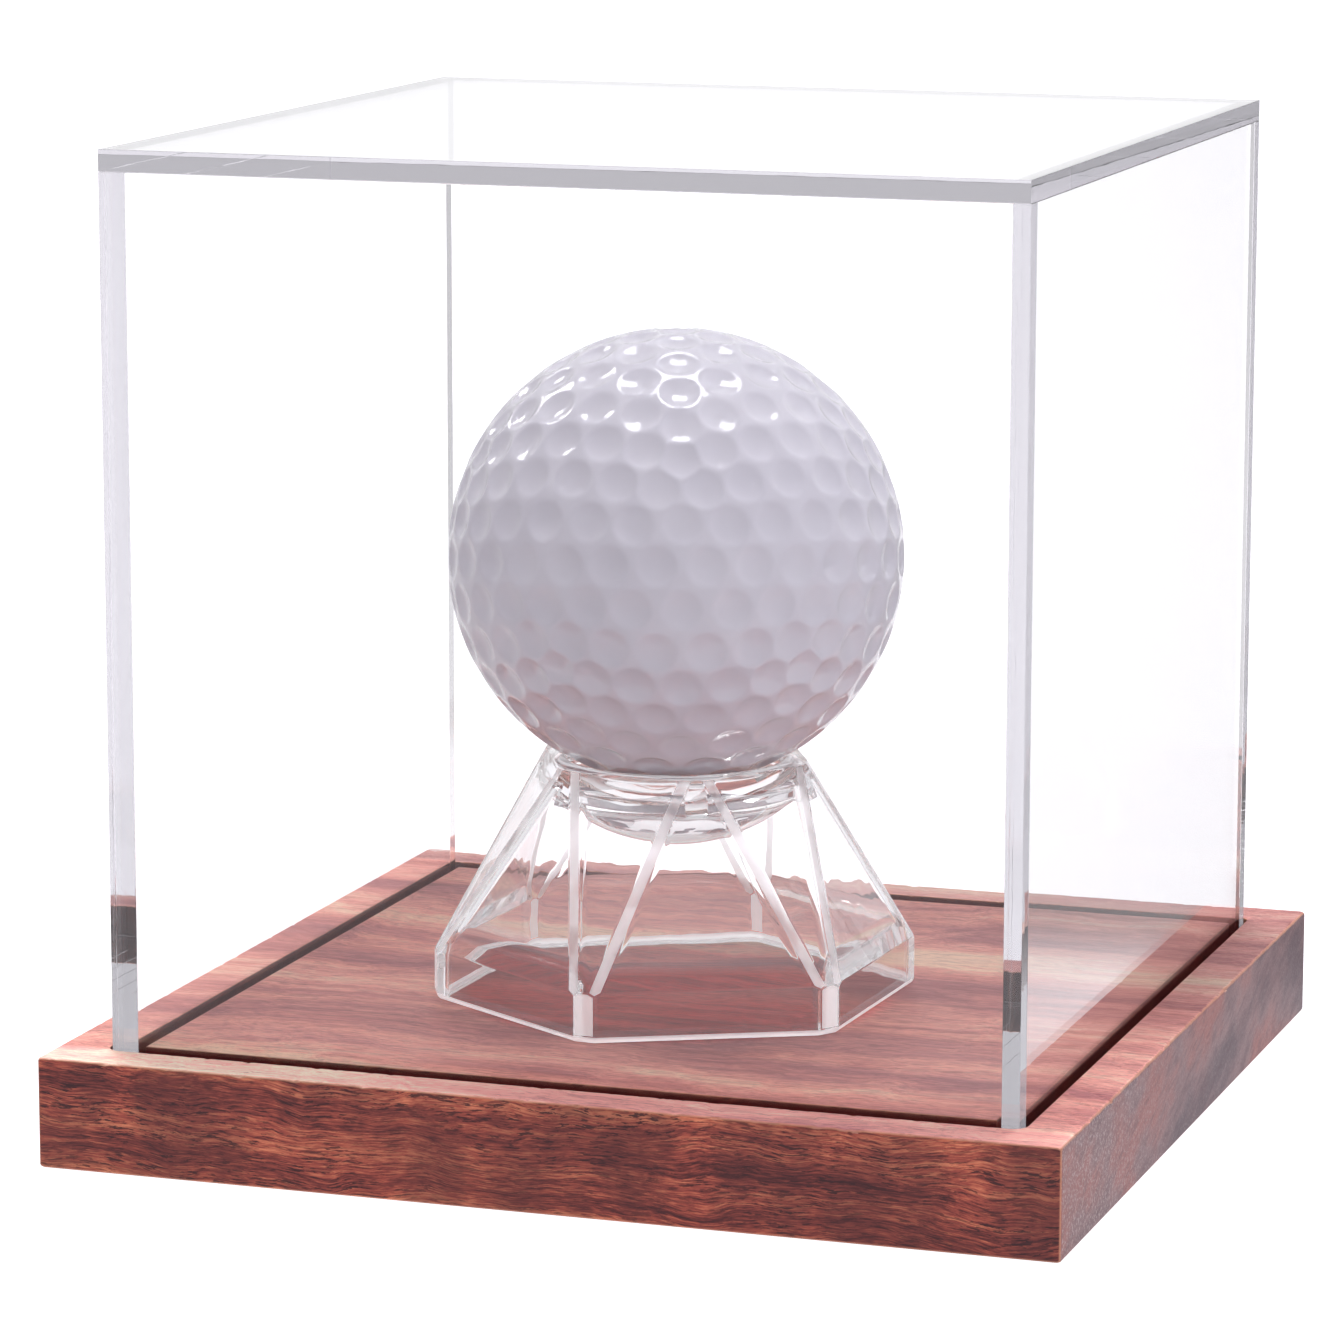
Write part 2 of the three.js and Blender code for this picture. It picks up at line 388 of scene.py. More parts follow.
def wood_noises(tree, place):
    """Flat-sawn wood: growth layers that rise to the back, run along X and wander a little."""
    layers = stretch(tree, place, (1, 1, 1), (LAYER_TILT, 0, 0))
    grain = layers
    for scale, detail, reach in WANDER:
        drift = noise(tree, stretch(tree, layers, scale), detail, output="Color")
        drift = vectors(tree, "SUBTRACT", drift, (0.5, 0.5, 0.5))
        grain = vectors(tree, "ADD", grain, vectors(tree, "MULTIPLY", drift, reach))
    spaces = {"block": place, "layers": layers, "grain": grain}
    made = {}
    for name, (space, scale, shift, detail, roughness) in WOOD_NOISES.items():
        vector = stretch(tree, spaces[space], scale, location=shift)
        made[name] = noise(tree, vector, detail, roughness)
    return made


def side_colour(tree, wood, tone, pores, fibres):
    """The long sides: dark red-brown, with short pores."""
    colour = ramp(tree, tone, SIDE_TONES)
    colour = blend(tree, remap(tree, wood["figure"], *FIGURE), colour, srgb(74, 34, 36))
    knotty = maths(tree, "MULTIPLY", pores, remap(tree, wood["knots"], *KNOTS))
    colour = stain(tree, colour, srgb(44, 18, 24), knotty, 0.9)
    return stain(tree, colour, srgb(70, 28, 32), fibres, 0.5)


def top_colour(tree, wood, pores, fibres):
    """The top, before its margins and the painted shade under the stand. Its tones are lighter and
    pinker than the sides': painted light from above and painted sheen from the grazing view, over the
    grain.
    """
    calm = weighted_sum(tree, (wood["broad"], 0.62), (wood["lines"], 0.22), (wood["hairs"], 0.16))
    colour = ramp(tree, calm, TOP_TONES_PAINTED_LIGHT)
    colour = stain(tree, colour, srgb(110, 60, 62), pores, 0.28)
    colour = stain(tree, colour, srgb(110, 60, 62), fibres, 0.22)
    return blend(tree, remap(tree, wood["streaks"], *STREAKS), colour, srgb(120, 66, 70))


def shade_under_stand(tree, colour, place):
    """Painted shade: deepens and reddens the wood seen through the stand, where the stand and the
    ball shade it, most towards the front.
    """
    low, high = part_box("ball_stand")
    middle = (low + high) / 2 / MM
    offset = vectors(tree, "MULTIPLY", vectors(tree, "SUBTRACT", place, middle), (1, 1, 0))
    reach = vectors(tree, "LENGTH", offset, output="Value")
    tint = blend(tree, remap(tree, split(tree, offset)[1], *STAND_SHADE_DEPTH), STAND_SHADE_BACK, STAND_SHADE_FRONT)
    return blend(tree, remap(tree, reach, *STAND_SHADE_REACH), colour, tint, "MULTIPLY")


def light_and_shade_margins(tree, colour, x, y):
    """Outside the groove, pales the front margin with painted light and deepens the back one with
    painted shade.
    """
    right = remap(tree, x, *MARGIN)
    front = maths(tree, "MULTIPLY", right, remap(tree, y, *FRONT_RIGHT))
    front = largest(tree, front, remap(tree, y, -MARGIN[0], -MARGIN[1]))
    colour = blend(tree, front, colour, FRONT_PAINTED_LIGHT, "MULTIPLY")
    back = maths(tree, "MULTIPLY", right, remap(tree, y, *BACK_RIGHT))
    back = largest(tree, back, remap(tree, y, *MARGIN))
    return blend(tree, back, colour, BACK_PAINTED_SHADE, "MULTIPLY")


def end_colour(tree, wood, y):
    """End grain: cloudy, and greyer, partly its own colour and partly painted sheen from the grazing
    view, with fine pale specks that thicken towards the front.
    """
    soft = weighted_sum(tree, (wood["bands"], 0.25), (wood["clouds"], 0.75))
    colour = ramp(tree, soft, END_TONES)
    specks = remap(tree, wood["specks"], *SPECKS)
    colour = stain(tree, colour, srgb(170, 152, 150), specks, remap(tree, y, *END_SPECKS))
    return stain(tree, colour, srgb(84, 62, 68), remap(tree, wood["lines"], *END_LINES), 0.35)


def in_groove(tree, x, y, z):
    """1 on the walls and the floor of the groove."""
    base_low, base_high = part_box("base_block")
    cover_low, cover_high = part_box("cover_top_panel")
    rim = (cover_high.x + GROOVE_CLEARANCE) / MM
    brim = base_high.z / MM
    out = largest(tree, absolute(tree, x), absolute(tree, y))
    inside = maths(tree, "MULTIPLY", remap(tree, out, rim + 0.2, rim + 0.05),
                   remap(tree, z, brim - 0.05, brim - 0.3))
    above_underside = remap(tree, z, 4.0, 6.0)
    return maths(tree, "MULTIPLY", inside, above_underside)


def walnut_material():
    material, tree, shader = new_material("walnut")
    place = place_of(tree)
    x, y, z = split(tree, place)
    facing = split(tree, node(tree, "TexCoord").outputs["Normal"])
    upward = facing[2]
    facing = [absolute(tree, part) for part in facing]
    wood = wood_noises(tree, place)
    pores = remap(tree, wood["pores"], *PORES)
    fibres = remap(tree, wood["fibres"], *FIBRES)
    tone = weighted_sum(tree, (wood["bands"], 0.35), (wood["lines"], 0.30), (wood["hairs"], 0.35))

    side = side_colour(tree, wood, tone, pores, fibres)
    top = top_colour(tree, wood, pores, fibres)
    # Painted shade under the stand, then painted light on the front margin and painted shade on the
    # back one.
    top = light_and_shade_margins(tree, shade_under_stand(tree, top, place), x, y)
    # Upward faces take the top's tones, made lighter with painted light and sheen.
    colour = blend(tree, remap(tree, upward, 0.5, 0.9), side, top)
    colour = blend(tree, remap(tree, facing[0], 0.5, 0.9), colour, end_colour(tree, wood, y))
    # The groove's walls and floor are darker and redder than the sides.
    groove_red = blend(tree, 0.2, srgb(120, 30, 28), side)
    colour = blend(tree, in_groove(tree, x, y, z), colour, groove_red)
    # A rounded edge faces no axis squarely, so this finds the edges, which are worn paler and carry a
    # painted highlight where they catch the light.
    worn_and_highlight = remap(tree, largest(tree, *facing), 0.97, 0.80, 0.0, 0.5)
    relief = maths(tree, "SUBTRACT", maths(tree, "MULTIPLY", wood["hairs"], 0.5), pores)
    feed(tree, shader, {
        "Base Color": blend(tree, worn_and_highlight, colour, WORN_AND_HIGHLIGHT_TONE),
        "Specular IOR Level": 0.35,
        "Roughness": remap(tree, tone, *GLOSS),
        "Normal": bump(tree, relief, 0.35, 0.04 * MM),
    })
    return material


# ---------------------------------------------------------------- ball coat

def ball_material():
    material, tree, shader = new_material("ball_coat")
    place = place_of(tree)
    cloud = noise(tree, stretch(tree, place, (0.12, 0.12, 0.12)), 2)
    grit = noise(tree, stretch(tree, place, (2.5, 2.5, 2.5)), 3, 0.6)
    feed(tree, shader, {
        "Base Color": ramp(tree, cloud, [(0.3, srgb(224, 221, 233)), (0.7, srgb(232, 229, 240))]),
        "Roughness": remap(tree, grit, 0.3, 0.7, 0.30, 0.38),
        "Normal": bump(tree, grit, 0.06, 0.02 * MM),
        "Specular IOR Level": 0.1,
        "Coat Weight": 1.0,
        "Coat Roughness": 0.02,
    })
    return material


# ---------------------------------------------------------------- floor and studio

FLOOR_GLOW = 0.86            # how strongly the floor lights the object
FLOOR_WHITE = 1.1            # how bright it is where it is seen directly
GUIDED_GLOW = 0.69           # how bright it is at the far end of a panel
FLOOR_TINT = (0.99, 0.975, 1.03, 1)
STUDIO_BACKDROP = [(0.0, (1.0, 1.0, 1.02, 1)), (0.35, (0.75, 0.73, 0.78, 1)),
                   (0.65, (0.90, 0.88, 0.93, 1)), (1.0, (1.04, 1.02, 1.08, 1))]
STUDIO_LEFT = (0.14, 0.09, 0.09, 1)
STUDIO_RIGHT = (1.14, 1.12, 1.19, 1)
STUDIO_CEILING = (1.02, 1.01, 1.07, 1)
STUDIO_GUIDED = (0.68, 0.675, 0.70, 1)
STUDIO_WHITE = (1.25, 1.25, 1.26, 1)


def light_path(tree):
    """Three tests of a ray, each 1 or 0.

    direct: it has only passed through clear things. clean: it has met no matt surface.
    guided: it is clean and was mirrored at least twice, as light is that runs along a panel.
    """
    path = node(tree, "LightPath")
    matt, mirror = path.outputs["Diffuse Depth"], path.outputs["Glossy Depth"]
    direct = maths(tree, "LESS_THAN", maths(tree, "ADD", matt, mirror), 0.5)
    clean = maths(tree, "LESS_THAN", matt, 0.5)
    guided = maths(tree, "MULTIPLY", maths(tree, "GREATER_THAN", mirror, 1.5), clean)
    return direct, clean, guided


def floor_material():
    """White paper, plain white where it is seen directly.

    What it gives to the object fades behind it on the right and far out on the left. Mirrors
    also see it dimmer in front and on the right.
    """
    material, tree, shader = new_material("floor_paper")
    place = place_of(tree)
    x, y = split(tree, place)[:2]
    direct, clean, guided = light_path(tree)
    fibre = noise(tree, stretch(tree, place, (0.4, 0.4, 0.4)), 4, 0.6)
    behind = maths(tree, "MULTIPLY", remap(tree, x, 30.0, 60.0), remap(tree, y, 42.0, 90.0))
    spill = remap(tree, behind, 0.0, 1.0, FLOOR_GLOW, 0.0)
    spill = maths(tree, "MULTIPLY", spill, remap(tree, x, -120.0, -30.0, 0.5, 1.0))
    dimmed = largest(tree, remap(tree, y, -60.0, -90.0, 0.0, 0.6),
                     remap(tree, x, 50.0, 80.0, 0.0, 0.3))
    dimmed = maths(tree, "MULTIPLY", clean, dimmed)
    spill = maths(tree, "MULTIPLY", spill, maths(tree, "SUBTRACT", 1.0, dimmed))
    glow = blend_values(tree, direct, spill, FLOOR_WHITE)
    feed(tree, shader, {
        "Base Color": ramp(tree, fibre, [(0.3, (0.28, 0.28, 0.28, 1)), (0.7, (0.3, 0.3, 0.3, 1))]),
        "Roughness": 0.9,
        "Specular IOR Level": 0.0,
        "Emission Color": FLOOR_TINT,
        "Emission Strength": blend_values(tree, guided, glow, GUIDED_GLOW),
    })
    return material


def make_world():
    """A soft room, white where it is seen directly. Its dark left side acts on matt surfaces only."""
    world = bpy.data.worlds.new("studio")
    world.use_nodes = True
    tree = world.node_tree
    direct, clean, guided = light_path(tree)
    heading = node(tree, "TexCoord").outputs["Generated"]
    ahead = vectors(tree, "DOT_PRODUCT", heading, direction(VIEW_AZIMUTH, 0.0), "Value")
    aside = vectors(tree, "DOT_PRODUCT", heading, direction(VIEW_AZIMUTH + 90.0, 0.0), "Value")
    height = split(tree, heading)[2]
    turn = maths(tree, "ADD", maths(tree, "MULTIPLY", ahead, 0.5), 0.5)
    left = maths(tree, "MULTIPLY", remap(tree, aside, 0.1, -0.6),
                 maths(tree, "SUBTRACT", 1.0, clean))
    room = blend(tree, left, ramp(tree, turn, STUDIO_BACKDROP), STUDIO_LEFT)
    room = blend(tree, remap(tree, aside, 0.2, 0.9), room, STUDIO_RIGHT)
    room = blend(tree, remap(tree, height, 0.35, 0.9), room, STUDIO_CEILING)
    room = blend(tree, direct, room, STUDIO_WHITE)
    room = blend(tree, guided, room, STUDIO_GUIDED)
    tree.links.new(room, tree.nodes["Background"].inputs["Color"])
    bpy.context.scene.world = world


# ---------------------------------------------------------------- mesh tools

def mesh_object(name, mesh, material=None):
    made = bpy.data.objects.new(name, mesh)
    bpy.context.scene.collection.objects.link(made)
    if material:
        mesh.materials.append(material)
    return made


def from_faces(name, points, faces, material=None):
    mesh = bpy.data.meshes.new(name)
    mesh.from_pydata([tuple(p) for p in points], [], [tuple(f) for f in faces])
    mesh.validate()
    return mesh_object(name, mesh, material)


def block(name, size, centre=(0, 0, 0), material=None):
    """A box of a size, in metres, round a centre."""
    mesh = bpy.data.meshes.new(name)
    work = bmesh.new()
    bmesh.ops.create_cube(work, size=1.0)
    bmesh.ops.transform(work, matrix=Matrix.Translation(centre) @ Matrix.Diagonal((*size, 1)),
                        verts=work.verts)
    work.to_mesh(mesh)
    work.free()
    return mesh_object(name, mesh, material)


def face_outward(made):
    work = bmesh.new()
    work.from_mesh(made.data)
    bmesh.ops.recalc_face_normals(work, faces=work.faces)
    work.to_mesh(made.data)
    work.free()


def apply_modifiers(made):
    bpy.context.view_layer.update()
    evaluated = made.evaluated_get(bpy.context.evaluated_depsgraph_get())
    result = bpy.data.meshes.new_from_object(evaluated)
    made.modifiers.clear()
    made.data = result


def soften(made, angle):
    """Smooth shading, apart from the edges that turn by more than an angle in degrees.

    Large faces keep their own direction, so only the small faces between them look round.
    """
    for polygon in made.data.polygons:
        polygon.use_smooth = True
    made.data.set_sharp_from_angle(angle=math.radians(angle))
    modifier = made.modifiers.new("weighted", "WEIGHTED_NORMAL")
    modifier.keep_sharp = True
    apply_modifiers(made)


def bevel_edges(made, width, segments=2, least_angle=20, below=1.0):
    """Rounds the edges that turn by more than an angle in degrees and lie below a height."""
    work = bmesh.new()
    work.from_mesh(made.data)
    sharp = [e for e in work.edges if e.calc_face_angle(0) > math.radians(least_angle)
             and max(v.co.z for v in e.verts) < below]
    bmesh.ops.bevel(work, geom=sharp, offset=width, offset_type="OFFSET", segments=segments,
                    profile=0.5, affect="EDGES", clamp_overlap=True)
    work.to_mesh(made.data)
    work.free()


def cut_away(made, tool):
    """Cuts a tool out of a solid. The tool is then removed."""
    modifier = made.modifiers.new("boolean", "BOOLEAN")
    modifier.operation = "DIFFERENCE"
    modifier.solver = "EXACT"
    modifier.object = tool
    apply_modifiers(made)
    bpy.data.objects.remove(tool)


def lathe(name, profile, segments):
    """Turns a profile of (radius, z) points, from the axis to the axis, into a closed solid."""
    points, rings, faces = [], [], []
    for radius, z in profile:
        if radius == 0:
            rings.append([len(points)] * segments)
            points.append((0, 0, z))
        else:
            start = len(points)
            rings.append([start + i for i in range(segments)])
            points += [(radius * math.cos(2 * math.pi * i / segments),
                        radius * math.sin(2 * math.pi * i / segments), z) for i in range(segments)]
    for low, high in zip(rings, rings[1:]):
        for i in range(segments):
            j = (i + 1) % segments
            corners = []
            for corner in (low[i], low[j], high[j], high[i]):
                if corner not in corners:
                    corners.append(corner)
            if len(corners) > 2:
                faces.append(corners)
    made = from_faces(name, points, faces)
    face_outward(made)
    return made


# ---------------------------------------------------------------- walnut base

ARC_STEPS = 4
CORNER_STEPS = 6
SIDE_STEPS = 240


def chips(loop):
    """Small bites out of an edge: each point is pulled in and down by a noise."""
    for point in loop:
        bite = mathutils.noise.fractal(point / CHIP_SIZE, 0.7, 2.0, 4)
        bite = CHIP_DEPTH * max(0.0, bite - CHIP_THRESHOLD)
        point.z -= bite
        point.xy *= 1 - bite / point.xy.length


def rounded_square(half, radius, z):
    """Points round a square with rounded corners, the same number whatever its size."""
    inner = half - radius
    points = []
    for quarter in range(4):
        turn = Matrix.Rotation(quarter * math.pi / 2, 3, "Z")
        for i in range(CORNER_STEPS + 1):
            angle = math.pi / 2 * i / CORNER_STEPS
            corner = Vector((inner + radius * math.cos(angle), inner + radius * math.sin(angle), z))
            points.append(turn @ corner)
        for i in range(1, SIDE_STEPS):
            along = inner - 2 * inner * i / SIDE_STEPS
            points.append(turn @ Vector((along, half, z)))
    return points


def bridge(loops):
    """Faces between loops of equal length, one after another, with a cap at each end."""
    count = len(loops[0])
    faces = []
    for k in range(len(loops) - 1):
        for i in range(count):
            j = (i + 1) % count
            faces.append((k * count + i, k * count + j, (k + 1) * count + j, (k + 1) * count + i))
    faces.append(tuple(range(count - 1, -1, -1)))
    faces.append(tuple(range((len(loops) - 1) * count, len(loops) * count)))
    return faces


def walnut_base(material):
    low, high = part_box("base_block")
    cover_low, cover_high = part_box("cover_top_panel")
    wall = cover_high.z - cover_low.z
    half, top = high.x, high.z
    groove_out = cover_high.x + GROOVE_CLEARANCE
    groove_in = groove_out - wall - 2 * GROOVE_CLEARANCE
    router = (groove_out - groove_in) / 2
    arc = [math.pi / 2 * i / ARC_STEPS for i in range(ARC_STEPS + 1)]
    arc = [(1 - math.sin(a), 1 - math.cos(a)) for a in arc]
    rings = [(half - BASE_EDGE * s, BASE_CORNER, BASE_EDGE * c) for s, c in arc]
    rings += [(half - BASE_EDGE * c, BASE_CORNER, top - BASE_EDGE * s) for s, c in arc]
    rings += [(groove_out + GROOVE_LIP * s, router, top - GROOVE_LIP * c) for s, c in arc]
    rings += [(groove_out, router, top - GROOVE_DEPTH)]
    rings += [(groove_in, ISLAND_CORNER, top - GROOVE_DEPTH)]
    rings += [(groove_in - GROOVE_LIP * c, ISLAND_CORNER, top - GROOVE_LIP * s) for s, c in arc]
    loops = [rounded_square(*ring) for ring in rings]
    # All but the lowest ring of the upper outer edge, and the first two of the groove's outer lip.
    for loop in loops[ARC_STEPS + 2:2 * ARC_STEPS + 4]:
        chips(loop)
    points = [p for loop in loops for p in loop]
    made = from_faces("walnut_base", points, bridge(loops), material)
    face_outward(made)
    soften(made, 35)
    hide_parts("base_block")
    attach(made, "base")


# ---------------------------------------------------------------- acrylic cover

def cover_panel(node_name, material):
    low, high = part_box(node_name)
    low = low + Vector((1, 1, 1)) * SEAM_GAP / 2
    high = high - Vector((1, 1, 1)) * SEAM_GAP / 2
    made = block("clear_" + node_name, high - low, (low + high) / 2, material)
    bevel_edges(made, PANEL_EDGE)
    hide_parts(node_name)
    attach(made, "cover")


# ---------------------------------------------------------------- ball stand

DOWN, UP = Vector((0, 0, -1)), Vector((0, 0, 1))
SIXTH = math.pi / 3


def leaning_plane(azimuth, low, z_low, high, z_high):
    """A plane facing an azimuth, `low` from the axis at z_low and `high` from it at z_high."""
    outward = Vector((math.cos(azimuth), math.sin(azimuth), 0))
    normal = (outward + Vector((0, 0, (low - high) / (z_high - z_low)))).normalized()
    return normal, normal.dot(outward * low + Vector((0, 0, z_low)))


def solid_behind(name, planes):
    """The convex solid behind planes given as (normal, distance)."""
    normals = np.array([tuple(n) for n, _ in planes])
    distances = np.array([d for _, d in planes])
    corners = []
    count = len(planes)
    for i in range(count):
        for j in range(i + 1, count):
            for k in range(j + 1, count):
                three = normals[[i, j, k]]
                if abs(np.linalg.det(three)) < 1e-6:
                    continue
                point = np.linalg.solve(three, distances[[i, j, k]])
                behind = np.all(normals @ point < distances + 1e-8)
                if behind and all(np.linalg.norm(point - c) > 1e-6 for c in corners):
                    corners.append(point)
    work = bmesh.new()
    for corner in corners:
        work.verts.new(corner)
    bmesh.ops.convex_hull(work, input=work.verts)
    bmesh.ops.dissolve_limit(work, angle_limit=math.radians(0.5), verts=work.verts,
                             edges=work.edges)
    bmesh.ops.recalc_face_normals(work, faces=work.faces)
    mesh = bpy.data.meshes.new(name)
    work.to_mesh(mesh)
    work.free()
    return mesh_object(name, mesh)


def bowl(edge, z_edge, z_bottom):
    """Points of a bowl from its bottom on the axis up to its edge."""
    drop = z_edge - z_bottom
    sphere = (edge * edge + drop * drop) / (2 * drop)
    full = math.asin(edge / sphere)
    return [(sphere * math.sin(full * i / BOWL_STEPS) if i else 0.0,
             z_bottom + sphere * (1 - math.cos(full * i / BOWL_STEPS)))
            for i in range(BOWL_STEPS + 1)]


def stand_planes(height):
    """The facets of the stand, its skirt's corners and sides, and the ribs between facets."""
    feet = [math.radians(STAND_TURN) + i * SIXTH for i in range(6)]
    heads = [a + SIXTH / 2 for a in feet]
    foot_flat = FOOT_RADIUS - FOOT_CORNER / 2 * math.tan(SIXTH / 2)
    head_flat = HEAD_RADIUS - HEAD_CORNER / 2 * math.tan(SIXTH / 2)
    foot_side = FOOT_RADIUS * math.cos(SIXTH / 2)
    head_side = HEAD_RADIUS * math.cos(SIXTH / 2)
    falling = [leaning_plane(a, foot_flat, SKIRT, head_side, height) for a in feet]
    rising = [leaning_plane(a, foot_side, SKIRT, head_flat, height) for a in heads]
    corners = [leaning_plane(a, foot_flat, 0, foot_flat, SKIRT) for a in feet]
    sides = [leaning_plane(a, foot_side, 0, foot_side, SKIRT) for a in heads]
    ribs = []
    for i, (n1, d1) in enumerate(falling):
        for n2, d2 in (rising[i], rising[i - 1]):
            half_turn = n1.angle(n2) / 2
            inset = RIB / 2 * math.tan(half_turn)
            ribs.append(((n1 + n2).normalized(), (d1 + d2) / (2 * math.cos(half_turn)) - inset))
    return falling + rising, corners, sides, ribs, heads


def cup_body(height):
    """The underside of the cup: a bowl, the bead at the foot of the collar, and the collar."""
    ceiling = height - PLATE
    cup_out = CUP_RADIUS + CUP_WALL
    ledge = ceiling - COLLAR + CUP_WALL / 2
    bead = [(cup_out - BEAD_IN + BEAD * math.sin(a), ledge - BEAD * math.cos(a))
            for a in (0.1, 0.5, 0.9, 1.3, math.pi / 2)]
    collar = [(cup_out + BEAD_OUT, ledge + 0.5 * MM), (cup_out, ledge + 0.7 * MM),
              (cup_out, ceiling + PLATE / 2), (0.0, ceiling + PLATE / 2)]
    under = bowl(cup_out - BEAD_IN, ledge - MM, height - CUP_DEPTH - CUP_WALL)
    return lathe("cup_body", under + bead + collar, CUP_SEGMENTS)


def cup_space(height):
    """The space above the cup that the ball rests in, with a rounded lip."""
    lip = [(CUP_RADIUS + CUP_LIP * (1 - math.cos(a)), height - CUP_LIP + CUP_LIP * math.sin(a))
           for a in (0.0, 0.4, 0.8, 1.2, math.pi / 2)]
    above = [(CUP_RADIUS + CUP_LIP, height + MM), (0.0, height + MM)]
    return lathe("cup_space", bowl(CUP_RADIUS, height - MM, height - BOWL_DEPTH) + lip + above,
                 CUP_SEGMENTS)


def gusset(azimuth, height):
    """A small web between the collar and the inside of a head corner."""
    length = HEAD_RADIUS - CUP_RADIUS - CUP_WALL / 2
    made = block("gusset", (length, GUSSET_WIDTH, GUSSET_HEIGHT + PLATE / 2))
    middle_z = height - PLATE - GUSSET_HEIGHT / 2 + PLATE / 4
    made.data.transform(Matrix.Translation((0, 0, middle_z)) @ Matrix.Rotation(azimuth, 4, "Z")
                        @ Matrix.Translation((HEAD_RADIUS - length / 2, 0, 0)))
    return made


def frost_flats(body, flats, frost):
    """Gives the flats, and the rounding under the foot, the frosted material with its painted glow.
    """
    body.data.materials.append(frost)
    for polygon in body.data.polygons:
        for normal, distance in flats:
            near = abs(polygon.center.dot(normal) - distance) < 0.02 * MM
            if near and polygon.normal.dot(normal) > 0.999:
                polygon.material_index = 1
        outward = polygon.normal.xy.dot(polygon.center.xy) > 0
        if outward and polygon.center.z < FOOT_EASE and -0.97 < polygon.normal.z < -0.1:
            polygon.material_index = 1


def ball_stand(material, frost):
    low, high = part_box("ball_stand")
    ball_low, ball_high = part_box("golf_ball")
    centre = (ball_low + ball_high) / 2
    height = high.z - low.z
    facets, corners, sides, ribs, heads = stand_planes(height)
    body = solid_behind("moulded_stand", facets + corners + sides + ribs
                        + [(DOWN, 0.0), (UP, height)])
    bevel_edges(body, FOOT_EASE, 3, 60, FOOT_EASE / 2)
    bevel_edges(body, FACET_EASE, 2, 10)
    inner = [(n, d - STAND_WALL) for n, d in facets]
    inner += [(n, d - SKIRT_WALL) for n, d in sides]
    hollow = solid_behind("hollow", inner + [(DOWN, STAND_WALL), (UP, height - PLATE)])
    bevel_edges(hollow, HOLLOW_EASE, 8, 5)
    cut_away(hollow, cup_body(height))
    for azimuth in heads:
        cut_away(hollow, gusset(azimuth, height))
    cut_away(body, hollow)
    cut_away(body, cup_space(height))
    body.data.materials.clear()
    body.data.materials.append(material)
    frost_flats(body, ribs + corners, frost)
    body.data.transform(Matrix.Translation((centre.x, centre.y, low.z + REST_GAP)))
    soften(body, 20)
    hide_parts("ball_stand")
    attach(body, "stand")


# ---------------------------------------------------------------- golf ball

def icosahedron():
    golden = (1 + math.sqrt(5)) / 2
    points = []
    for a in (-1, 1):
        for b in (-golden, golden):
            points += [(0, a, b), (a, b, 0), (b, 0, a)]
    points = np.array(points) / math.sqrt(1 + golden * golden)
    edge = min(np.linalg.norm(points[0] - p) for p in points[1:])
    faces = []
    for i in range(12):
        for j in range(i + 1, 12):
            for k in range(j + 1, 12):
                pairs = ((i, j), (j, k), (i, k))
                if max(np.linalg.norm(points[a] - points[b]) for a, b in pairs) < edge * 1.01:
                    normal = np.cross(points[j] - points[i], points[k] - points[i])
                    outward = np.dot(normal, points[i]) > 0
                    faces.append((i, j, k) if outward else (i, k, j))
    return points, faces


def geodesic(frequency):
    """A sphere of unit radius from an icosahedron, each side split into `frequency` steps."""
    corners, sides = icosahedron()
    points, faces, known = [], [], {}

    def index_of(position):
        key = tuple(np.round(position, 6))
        if key not in known:
            known[key] = len(points)
            points.append(position)
        return known[key]

    for a, b, c in sides:
        grid = {}
        for i in range(frequency + 1):
            for j in range(frequency + 1 - i):
                weights = np.array([frequency - i - j, i, j]) / frequency
                position = weights @ corners[[a, b, c]]
                grid[i, j] = index_of(position / np.linalg.norm(position))
        for i in range(frequency):
            for j in range(frequency - i):
                faces.append((grid[i, j], grid[i + 1, j], grid[i, j + 1]))
                if i + j < frequency - 1:
                    faces.append((grid[i + 1, j], grid[i + 1, j + 1], grid[i, j + 1]))
    return np.array(points), faces


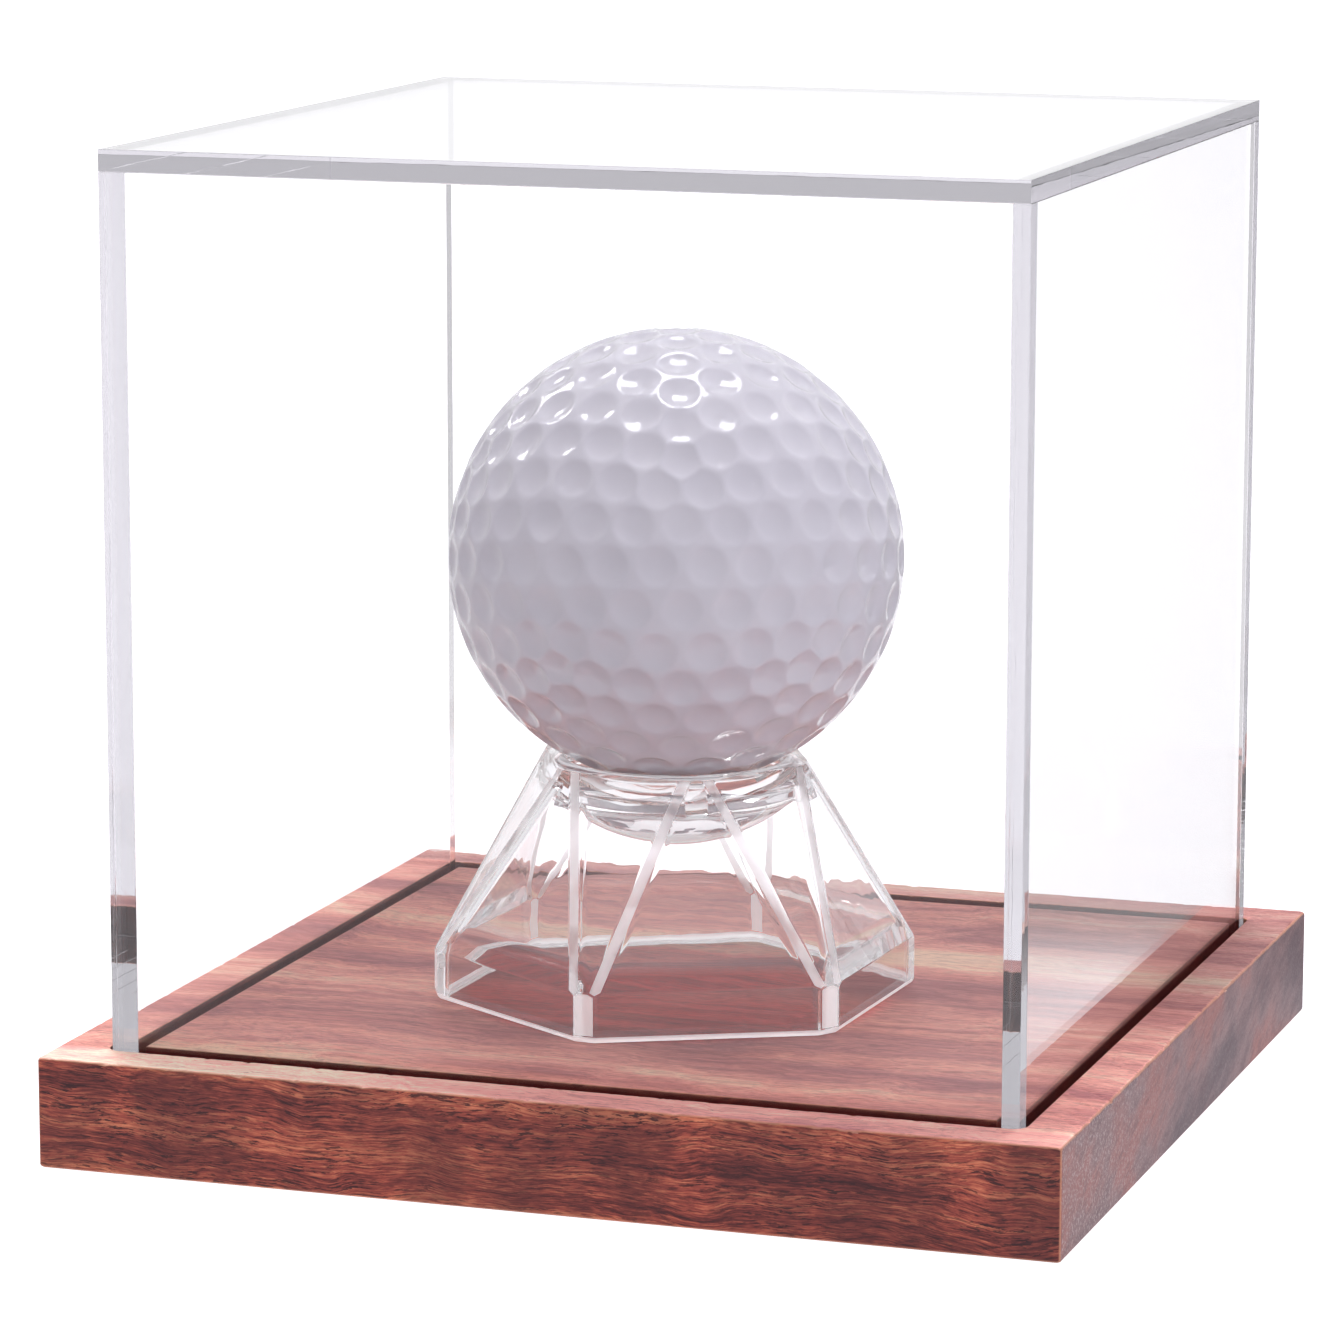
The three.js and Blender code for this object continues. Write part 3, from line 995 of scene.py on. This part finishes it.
def golf_ball(material):
    low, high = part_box("golf_ball")
    centre = (low + high) / 2
    radius = (high.z - low.z) / 2
    directions, faces = geodesic(BALL_GRID)
    dimples, _ = geodesic(DIMPLE_ROWS)
    parts = np.array_split(directions, MEMORY_PARTS)
    nearest = np.concatenate([(part @ dimples.T).max(axis=1) for part in parts])
    distance = np.arccos(np.clip(nearest, -1, 1)) * radius
    hollow = DIMPLE_DEPTH * (1 - (distance / DIMPLE_RADIUS) ** 2)
    depth = (hollow + np.sqrt(hollow ** 2 + DIMPLE_EASE ** 2)) / 2
    points = directions * (radius - depth)[:, None]
    made = from_faces("dimpled_golf_ball", points, faces, material)
    turn = (Matrix.Rotation(math.radians(BALL_SPIN), 4, "Z")
            @ Matrix.Rotation(math.radians(BALL_TILT), 4, "X"))
    made.data.transform(Matrix.Translation(centre) @ turn)
    for polygon in made.data.polygons:
        polygon.use_smooth = True
    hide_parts("golf_ball")
    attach(made, "ball")


# ---------------------------------------------------------------- the scene

FLOOR_RADIUS = 3.0
FLOOR_TOP = -0.1 * MM
FLOOR_BOTTOM = -4 * MM


def make_floor(material):
    made = lathe("floor", [(0.0, FLOOR_BOTTOM), (FLOOR_RADIUS, FLOOR_BOTTOM),
                           (FLOOR_RADIUS, FLOOR_TOP), (0.0, FLOOR_TOP)], 64)
    made.data.materials.append(material)


scene = bpy.context.scene
scene.view_settings.view_transform = "Standard"
# Light that runs along a panel is turned back by its faces dozens of times.
scene.cycles.max_bounces = 96
scene.cycles.transmission_bounces = 32
scene.cycles.glossy_bounces = 80
make_camera()
make_world()
make_floor(floor_material())
area_light("ceiling_softbox", azimuth=195, elevation=73, distance=2.0,
           size=(0.75, 0.65), watts=26.0)
area_light("back_left_softbox", azimuth=-121, elevation=36, distance=2.0,
           size=(0.33, 0.45), watts=5.5)

walnut_base(walnut_material())
acrylic = clear_plastic("acrylic", 1.49, 0.002, tint=(0.932, 0.929, 0.937, 1), density=51)
for panel in ("front", "back", "left", "right", "top"):
    cover_panel(f"cover_{panel}_panel", acrylic)
ball_stand(clear_plastic("moulded_clear", 1.5, 0.05), frosted_plastic_with_painted_glow())
golf_ball(ball_material())
